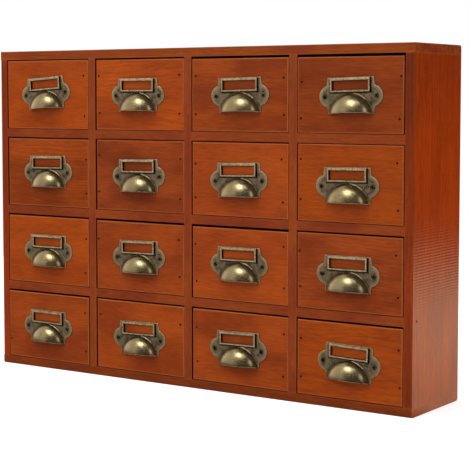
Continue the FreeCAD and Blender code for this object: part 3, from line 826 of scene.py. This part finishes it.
class SPICE_OT_case(bpy.types.Operator):
    """Stains the case's boards, each cut from its own place in the log"""

    bl_idname = "spice.case"
    bl_label = "Case boards"

    # node, grain, where it was cut in millimetres from the pith, how strong its rings show, and how
    # dark its end grain is
    BOARDS = (
        ("top_board", "X", (0, 30, -290), 0.6, 0.35),
        ("bottom_board", "X", (300, -45, 60), 0.8, 0.15),
        ("left_side", "Z", (0, 60, 300), 0.8, 0.5),
        ("right_side", "Z", (700, 75, 190), 1.1, 0.5),
        ("divider_left", "Z", (60, 95, 40), 0.6, 0.5),
        ("divider_centre", "Z", (210, 70, -60), 0.6, 0.5),
        ("divider_right", "Z", (430, 88, 25), 0.6, 0.5),
        ("shelves_upper", "X", (90, 80, -210), 0.6, 0.5),
        ("shelves_middle", "X", (500, 95, -140), 0.6, 0.5),
        ("shelves_lower", "X", (950, 70, -60), 0.6, 0.5),
    )
    # For the boards with a richer stain, how much of each colour their front edges keep.
    EDGES = {
        "top_board": (0.74, 0.71, 0.5),
        "left_side": (0.60, 0.66, 2.5),
        "right_side": (0.5, 0.6, 3.0),
        "bottom_board": (0.46, 0.72, 5.0),
    }

    def execute(self, context):
        wood = context.scene.spice_wood
        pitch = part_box("divider_right")[0].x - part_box("divider_centre")[0].x
        for node, along, cut, figure, soak in self.BOARDS:
            stain = (wood.case_light[:], wood.case_deep[:])
            if node == "top_board":
                stain = (wood.top_light[:], wood.top_deep[:])
            elif node in self.EDGES:
                stain = (wood.side_light[:], wood.side_deep[:])
            shelves = node.startswith("shelves")
            cover(node, stained_wood(
                f"stained pine, {node}", wood, along, cut, stain, figure,
                boards=pitch if shelves else None, box=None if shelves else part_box(node),
                edge=self.EDGES.get(node), gaps=0.9, wear=wood.case_wear_and_highlight, soak=soak,
            ))
        ply = (wood.panel_light[:], wood.panel_deep[:])
        cover("back_panel", stained_wood(
            "stained plywood", wood, "X", (0, 70, -120), ply, 0.6, lacquered=False,
        ))
        return {"FINISHED"}


class SPICE_OT_drawers(bpy.types.Operator):
    """Stains every drawer front, each cut from its own place in the log, and leaves the boxes bare"""

    bl_idname = "spice.drawers"
    bl_label = "Drawer fronts and boxes"

    # For each front, row by row from the top: how far its stain goes from amber to russet, how
    # strong its rings show, how much light its stain gives back, and how much less in patches.
    FRONTS = (
        ((0.0, 0.3, 1.10, 0.0), (0.2, 1.0, 1.19, 0.0), (0.6, 0.5, 1.08, 0.1), (0.7, 0.4, 0.92, 0.05)),
        ((0.4, 1.2, 1.08, 0.18), (0.9, 0.5, 1.10, 0.2), (0.5, 0.4, 1.23, 0.0), (0.2, 0.5, 1.02, 0.0)),
        ((0.1, 0.3, 1.15, 0.0), (0.6, 0.4, 1.12, 0.05), (0.4, 0.6, 1.22, 0.0), (0.8, 1.1, 1.12, 0.1)),
        ((0.5, 0.5, 1.16, 0.08), (0.4, 0.4, 1.2, 0.1), (0.5, 0.6, 1.2, 0.18), (0.0, 0.9, 1.05, 0.0)),
    )

    def execute(self, context):
        wood = context.scene.spice_wood
        chance = random.Random(7)
        bare = (wood.box_wood[:], wood.box_deep[:])
        box_wood = stained_wood(
            "bare pine", wood, "X", (0, 60, 20), bare, 0.5, turned=True, lacquered=False,
        )
        for row, fronts in enumerate(self.FRONTS, 1):
            for column, (russet, figure, tone, patches) in enumerate(fronts, 1):
                name = f"drawer_r{row}_c{column}"
                stain = [
                    [depth * (a + (b - a) * russet) for a, b in zip(amber, brown)]
                    for amber, brown, depth in (
                        (wood.amber, wood.russet, tone),
                        (wood.amber_deep, wood.russet_deep, tone * (1 - patches)),
                    )
                ]
                cut = (chance.uniform(-900, 900), chance.uniform(70, 140), chance.uniform(-420, 60))
                front = f"{name}_front"
                cover(front, stained_wood(
                    f"stained pine, {front}", wood, "X", cut, stain, figure, box=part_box(front), gaps=0.95,
                    wear=wood.front_wear,
                ))
                cover(f"{name}_box", box_wood)
        return {"FINISHED"}


class SPICE_OT_pulls(bpy.types.Operator):
    """Models one cup pull with its label frame, and sets a copy on every drawer"""

    bl_idname = "spice.pulls"
    bl_label = "Cup pulls"

    # The part of the bead that gets the rubbed finish as a painted highlight: its upper right, in
    # degrees up from the right.
    PAINTED_HIGHLIGHT_ARC = (50, 84)

    def execute(self, context):
        size = context.scene.spice_pull
        top = size.height / 2
        mouth = -top
        radius = (size.cup_width ** 2 / 4 + size.cup_rise ** 2) / (2 * size.cup_rise)
        middle = Vector((0, 0, mouth + size.cup_rise - radius))
        down = Vector((0, -math.sin(size.mouth_slant), -math.cos(size.mouth_slant)))
        finishes = pull_finishes(context.scene, middle, radius)

        pull = self.plate(size, finishes, top, mouth)
        hole = ball("hole", middle, radius - size.cup_wall, size.cup_depth - size.cup_wall, size.cup_sides)
        combine(pull, dress(hole, finishes, HOLLOW_AND_SHADE), "DIFFERENCE")
        combine(pull, self.label_frame(size, finishes, top), "UNION")
        combine(pull, self.cup(size, finishes, middle, radius, mouth, down), "UNION")
        combine(pull, self.bead(size, finishes, middle, radius, mouth, down), "UNION")
        smooth(pull)
        for name in DRAWERS:
            piece = copy_of(pull, f"{name}_cup_pull", *pull_seat(name))
            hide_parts(f"{name}_pull")
            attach(piece, name)
        bpy.data.objects.remove(pull)
        return {"FINISHED"}

    def plate(self, size, finishes, top, mouth):
        """The flat of the stamping: a tapered plate with an ear blended into each side."""
        half = size.shoulder_width / 2
        # Everything is joined thicker than the sheet, and then cut down to it.
        plate = block("cup_pull_pattern", (-half, -3 * size.sheet, mouth), (half, 2 * size.sheet, top))
        edit(plate, "FACE", every)
        bpy.ops.mesh.bisect(plane_co=(0, 0, top - size.shoulder_drop), plane_no=(0, 0, 1))
        close()
        for level, width in ((top, size.top_width), (mouth, size.foot_width)):
            edit(plate, "FACE", lambda face: abs(face.calc_center_median().z - level) < NEAR)
            bpy.ops.transform.resize(value=(width / size.shoulder_width, 1, 1), center_override=(0, 0, 0))
            close()
        for side in (-1, 1):
            ear = Vector((side * size.ear_spacing / 2, 0, top - size.ear_drop))
            combine(plate, disc("ear", ear, size.ear_radius, 7 * size.sheet), "UNION")
            for up in (-1, 1):
                combine(plate, self.web(size, ear, side, up), "UNION")
        keep_side(plate, (0, 0, 0), (0, 1, 0), fill=True)
        keep_side(plate, (0, -size.sheet, 0), (0, -1, 0), fill=True)
        dress(plate, finishes, PLATE)
        # Painted shadow: the plate's side walls are nearly black, a dark outline round it.
        paint(plate, HOLLOW_AND_SHADE, lambda face: abs(face.normal.y) < 0.1)
        bevel(plate, lambda edge: rim_at(edge, -size.sheet), size.edge, RUBBED_AND_HIGHLIT)
        # The window's walls are nearly black: patina and painted shade.
        window = self.window(size, top, (-3 * size.sheet, size.sheet))
        combine(plate, dress(window, finishes, HOLLOW_AND_SHADE), "DIFFERENCE")
        return plate

    def web(self, size, ear, side, up):
        """Metal that rounds the corner between an ear and the plate's side."""
        blend = size.ear_blend
        half = (size.shoulder_width + size.foot_width) / 4
        out = half + blend - abs(ear.x)
        reach = size.ear_radius + blend
        rise = math.sqrt(reach ** 2 - out ** 2)
        touch = abs(ear.x) + out * size.ear_radius / reach
        across = sorted((side * (half - 2 * MM), side * touch))
        along = sorted((ear.z, ear.z + up * rise))
        web = block("web", (across[0], -2 * size.sheet, along[0]), (across[1], 1.5 * size.sheet, along[1]))
        corner = (side * (half + blend), 0, ear.z + up * rise)
        combine(web, disc("corner", corner, blend, 9 * size.sheet, 48), "DIFFERENCE")
        return web

    def window(self, size, top, depths):
        """The label window as a block from one depth to another."""
        half = size.frame_width / 2 - size.frame_upright
        high = top - size.frame_drop - size.frame_head
        low = top - size.frame_drop - size.frame_tall + size.frame_sill
        return block("window", (-half, depths[0], low), (half, depths[1], high))

    def label_frame(self, size, finishes, top):
        """The raised frame round the window, with room for a card behind its bars from side to side."""
        half = size.frame_width / 2
        high = top - size.frame_drop
        low = high - size.frame_tall
        front = -size.sheet - size.frame_stand
        bars = block("label_frame", (-half, front, low), (half, -0.8 * size.sheet, high))
        # The frame's walls, window and slot are nearly black: patina and painted shade.
        dress(bars, finishes, HOLLOW_AND_SHADE)
        opening = self.window(size, top, (2 * front, size.sheet))
        combine(bars, dress(opening, finishes, HOLLOW_AND_SHADE), "DIFFERENCE")
        slot_low = low + size.frame_sill - size.card_lip
        slot_high = high - size.frame_head + size.card_lip
        slot = block(
            "slot", (-half - MM, -size.sheet - size.card_slot, slot_low), (half + MM, size.sheet, slot_high),
        )
        combine(bars, dress(slot, finishes, HOLLOW_AND_SHADE), "DIFFERENCE")
        # The rounded edges take the plate's finish, which the painted shade round the frame darkens. The
        # front of the bars is rubbed bright and lightened as a painted highlight.
        bevel(bars, lambda edge: rim_at(edge, front), size.frame_edge, PLATE)
        paint(bars, RUBBED_AND_HIGHLIT, lambda face: face.normal.y < -0.9 and face.center.y < front + NEAR)
        return bars

    def cup(self, size, finishes, middle, radius, mouth, down):
        """The cup: part of a flattened ball, cut off at its mouth, with a wall and a rounded lip."""
        cup = dress(ball("cup", middle, radius, size.cup_depth, size.cup_sides), finishes, CUP)
        keep_side(cup, (0, -size.sheet / 2, 0), (0, 1, 0))
        keep_side(cup, (0, 0, mouth), down)
        only(cup)
        wall = cup.modifiers.new("wall", "SOLIDIFY")
        wall.thickness = size.cup_wall
        wall.offset = -1
        wall.use_even_offset = True
        wall.material_offset = -2
        wall.material_offset_rim = -1
        bpy.ops.object.modifier_apply(modifier=wall.name)

        def lip(edge):
            places = [vertex.co for vertex in edge.verts]
            at_mouth = all(abs((place - Vector((0, 0, mouth))).dot(down)) < 4 * NEAR for place in places)
            in_front = all(place.y < -1.5 * size.sheet for place in places)
            return at_mouth and in_front and edge.calc_face_angle(0) > 0.6

        bevel(cup, lip, size.lip_edge, RUBBED_AND_HIGHLIT)
        return cup

    def bead(self, size, finishes, middle, radius, mouth, down):
        """The raised bead that the die leaves round the cup's root."""
        bpy.ops.mesh.primitive_torus_add(
            location=middle + Vector((0, -size.sheet, 0)), rotation=(math.pi / 2, 0, 0),
            major_segments=96, minor_segments=10,
            major_radius=radius + 0.8 * size.bead, minor_radius=size.bead,
        )
        bead = dress(settle("bead"), finishes, PLATE)
        keep_side(bead, (0, 0, mouth), down, fill=True)

        def bright(face):
            out = face.center - middle
            return self.PAINTED_HIGHLIGHT_ARC[0] < math.degrees(math.atan2(out.z, out.x)) < self.PAINTED_HIGHLIGHT_ARC[1]

        # The bead's upper right is a painted highlight.
        paint(bead, RUBBED_AND_HIGHLIT, bright)
        return bead


class SPICE_OT_screws(bpy.types.Operator):
    """Models one round-headed screw with a cross recess, and sets two in every pull"""

    bl_idname = "spice.screws"
    bl_label = "Pull screws"

    def execute(self, context):
        scene = context.scene
        size, pull, metal = scene.spice_fixing, scene.spice_pull, scene.spice_brass
        head_tones = ("rubbed_dark", "patina_dark", "patina_dark")
        finishes = [
            antique_brass("screw heads", metal, head_tones, 0.5, 0.5, metallic=0.7),
            antique_brass("screw recess", metal, ("hollow",) * 3, 0.6, 0.5),
        ]
        head = dress(ball("screw_pattern", (0, 0, 0), size.screw_radius, size.screw_stand, 32), finishes, 0)
        keep_side(head, (0, 0.3 * MM, 0), (0, 1, 0), fill=True)
        reach, half = size.cross_reach, size.cross_width / 2
        for x, z in ((reach, half), (half, reach)):
            arm = block("arm", (-x, -2 * size.screw_stand, -z), (x, -0.25 * size.screw_stand, z))
            combine(head, dress(arm, finishes, 1), "DIFFERENCE")
        smooth(head)
        chance = random.Random(11)
        for name in DRAWERS:
            seat, turn = pull_seat(name)
            heads = []
            for side in (-1, 1):
                ear = Vector((side * size.screw_spacing / 2, -pull.sheet, pull.height / 2 - size.screw_drop))
                ear.rotate(Matrix.Rotation(turn, 3, "Y"))
                cross = chance.uniform(0, math.pi / 2)
                heads.append(copy_of(head, f"{name}_pull_screws", seat + ear, cross))
            piece = joined(heads)
            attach(piece, name)
        bpy.data.objects.remove(head)
        return {"FINISHED"}


class SPICE_OT_brads(bpy.types.Operator):
    """Drives the brads that hold the drawer fronts to the boxes' sides"""

    bl_idname = "spice.brads"
    bl_label = "Brads"

    # Where each drawer's brads show, from its pocket's lower left corner in millimetres, in the
    # order of DRAWERS. The others were punched under and filled.
    PLACES = (
        ((107, 56), (108, 14)),
        ((5, 55.5), (6, 17.5), (108, 56), (108, 17.5)),
        ((5.5, 54.5), (5.5, 17), (107.5, 52), (108, 17)),
        ((5, 48), (4, 14), (109.5, 52.5), (108, 14)),
        ((110, 51.5), (110, 16)),
        ((5, 56.5), (4.5, 19), (109, 55), (109, 15)),
        ((5, 51), (5, 17.5), (105.5, 57.5), (107, 16.5)),
        ((4, 58.5), (4, 20.5), (106, 57), (107, 14)),
        ((109.5, 51), (108, 15)),
        ((3.5, 52.5), (107, 56.5), (108, 19.5)),
        ((4.5, 54), (6, 17), (108, 57), (108.5, 17)),
        ((3, 54.5), (4, 20.5), (105.5, 56), (108, 17.5)),
        ((3, 19), (107, 55), (108, 14.5)),
        ((5.5, 56), (108.5, 54)),
        ((6, 53.5), (7, 19), (108.5, 55.5), (108, 14.5)),
        ((5, 54), (5, 17), (109, 52), (110.5, 17.5)),
    )

    def execute(self, context):
        size = context.scene.spice_fixing
        material, add = new_material("blued steel brad under stain")
        place = add("TexCoord").outputs["Object"]
        rust = add("TexNoise", {"Vector": place, "Scale": 1 / (0.5 * MM), "Detail": 1.0})
        black, brown = size.brad_black[:], size.brad_brown[:]
        tone = add("Mix RGBA", rust, black, brown)
        shader = add("BsdfPrincipled", {"Base Color": tone, "Roughness": 0.9, "Specular IOR Level": 0.02})
        add("OutputMaterial", shader)

        brad = ball("brad_pattern", (0, 0, 0), size.brad_radius, size.brad_stand, 16)
        dress(brad, [material])
        keep_side(brad, (0, 0.05 * MM, 0), (0, 1, 0), fill=True)
        smooth(brad)
        for index, name in enumerate(DRAWERS):
            row, column = divmod(index, 4)
            left = POCKET_LEFTS[column]
            shelf = POCKET_FLOORS[row]
            heads = [
                copy_of(brad, f"{name}_brads", (left + across * MM, FACE, shelf + up * MM))
                for across, up in self.PLACES[index]
            ]
            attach(joined(heads), name)
        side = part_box("right_side")[1].x
        in_side = copy_of(brad, "side_brad", (side, FACE + 8 * MM, 88 * MM), math.pi / 2, "Z")
        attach(in_side, "case")
        bpy.data.objects.remove(brad)
        return {"FINISHED"}


def cover(node, material):
    """Gives a node of the frame its one material."""
    piece = frame["nodes"][node]
    piece.data.materials.clear()
    piece.data.materials.append(material)


def pull_seat(name):
    """Where a drawer's pull has its middle, on the drawer front, and its turn about Y."""
    low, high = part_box(f"{name}_pull")
    middle = (low + high) / 2
    middle.y = high.y
    return middle, -math.radians(PULL_TILTS[DRAWERS.index(name)])


def rim_at(edge, level):
    """True where a flat front at this level along Y meets a wall."""
    flat = all(abs(vertex.co.y - level) < 0.01 * MM for vertex in edge.verts)
    return flat and edge.calc_face_angle(0) > 0.5


def pull_finishes(scene, middle, radius):
    """The pull's four finishes, in the order of PLATE, RUBBED_AND_HIGHLIT, CUP and HOLLOW_AND_SHADE."""
    metal, size = scene.spice_brass, scene.spice_pull
    shape = {
        "cup": middle, "cup_radius": radius, "ear_radius": size.ear_radius,
        "ear": (size.ear_spacing / 2, 0, abs(size.height / 2 - size.ear_drop)),
        "frame": (0, 0, size.height / 2 - size.frame_drop - size.frame_tall / 2),
        "frame_half": (size.frame_width / 2, 0, size.frame_tall / 2),
        # The colour of the patina and painted shade round the cup's root and the frame, and the rims'.
        "deep": metal.hollow[:], "rim": metal.rim[:],
    }
    return [
        antique_brass(
            "darkened", metal, ("patina", "patina_dark", "patina_warm"), 0.42, 0.7,
            metallic=0.75, pull=shape,
        ),
        # Rubbed edges, and the painted highlight on the frame's bars and the bead.
        antique_brass(
            "rubbed edges", metal, ("rubbed", "rubbed_dark", "patina"), 0.28, 0.85,
            metallic=0.55, rubbed=(35, 0.3),
        ),
        antique_brass(
            "polished cup", metal, ("polished", "polished_dark", "polished_warm"), 0.27, 1.15,
            pull=shape, rubbed=(-20, 0.1), relief=0.04,
        ),
        # Nearly black: patina in the hollows, and painted shade on the walls.
        antique_brass("hollows", metal, ("hollow", "hollow", "patina_dark"), 0.65, 0.4, metallic=0.4),
    ]


OPERATORS = (
    SPICE_OT_stage,
    SPICE_OT_case,
    SPICE_OT_drawers,
    SPICE_OT_pulls,
    SPICE_OT_screws,
    SPICE_OT_brads,
)
SETTINGS = {
    "spice_stage": StageSettings,
    "spice_wood": WoodSettings,
    "spice_brass": BrassSettings,
    "spice_pull": PullSettings,
    "spice_fixing": FixingSettings,
}


class SPICE_PT_cabinet(bpy.types.Panel):
    """The cabinet's steps and the sizes and colours that they use"""

    bl_label = "Spice cabinet"
    bl_space_type = "VIEW_3D"
    bl_region_type = "UI"
    bl_category = "Spice cabinet"

    def draw(self, context):
        for operator in OPERATORS:
            self.layout.operator(operator.bl_idname)
        for name, kind in SETTINGS.items():
            box = self.layout.box()
            for setting in kind.__annotations__:
                box.prop(getattr(context.scene, name), setting)


CLASSES = (*SETTINGS.values(), *OPERATORS, SPICE_PT_cabinet)


def register():
    for kind in CLASSES:
        bpy.utils.register_class(kind)
    for name, kind in SETTINGS.items():
        setattr(bpy.types.Scene, name, PointerProperty(type=kind))


def unregister():
    for name in SETTINGS:
        delattr(bpy.types.Scene, name)
    for kind in reversed(CLASSES):
        bpy.utils.unregister_class(kind)


def main():
    register()
    bpy.ops.spice.stage()
    bpy.ops.spice.case()
    bpy.ops.spice.drawers()
    bpy.ops.spice.pulls()
    bpy.ops.spice.screws()
    bpy.ops.spice.brads()
    boxes = {"cad_box": CAD_BOX, "visual_box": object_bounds()}
    {name: [list(corner) for corner in box] for name, box in boxes.items()}


if __name__ == "__main__":
    main()
